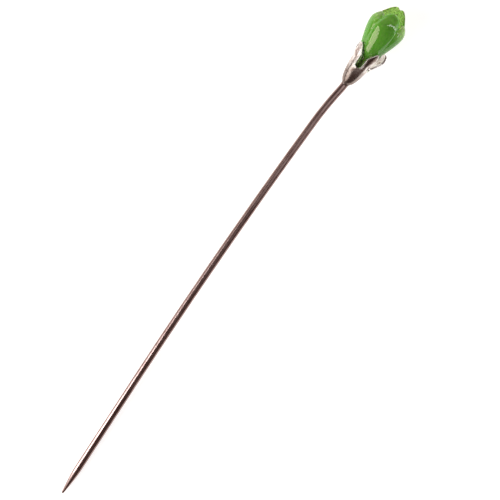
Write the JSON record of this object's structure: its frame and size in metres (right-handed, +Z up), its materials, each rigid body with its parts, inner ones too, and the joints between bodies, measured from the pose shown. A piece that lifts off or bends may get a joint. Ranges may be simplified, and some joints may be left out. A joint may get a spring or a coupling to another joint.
{
  "type": "decorative hair pin",
  "caption": "Slim bowed metal hair stick with a blunt point, ending in a flower calyx that holds a translucent green glass bud.",
  "frame": {"origin": "on the table plane, under the middle of the pin's bounding box as it lies on its lower petals and its point", "axes": "+X along the pin towards the bud's mouth, +Z up out of the front petal, +Y across; the shaft bows towards +Y and its point lies on the -Y side"},
  "size_m": [0.185, 0.0122, 0.0119],
  "materials": {
    "shaft_metal": "polished, darkened by a thin brown patina",
    "calyx_metal": "silver-toned, antiqued: bright edges, brown in the hollows",
    "solder": "satin solder",
    "peg_metal": "drawn wire, hidden",
    "green_glass": "glossy translucent jade-green glass",
    "clear_glue": "clear cured glue, looks dark green between metal and glass"
  },
  "bodies": {
    "root": {"pin_shaft": "shaft_metal", "calyx": "calyx_metal", "solder_ring": "solder", "bud_peg": "peg_metal", "glass_bud": "green_glass", "glue_bed": "clear_glue"}
  },
  "joints": []
}
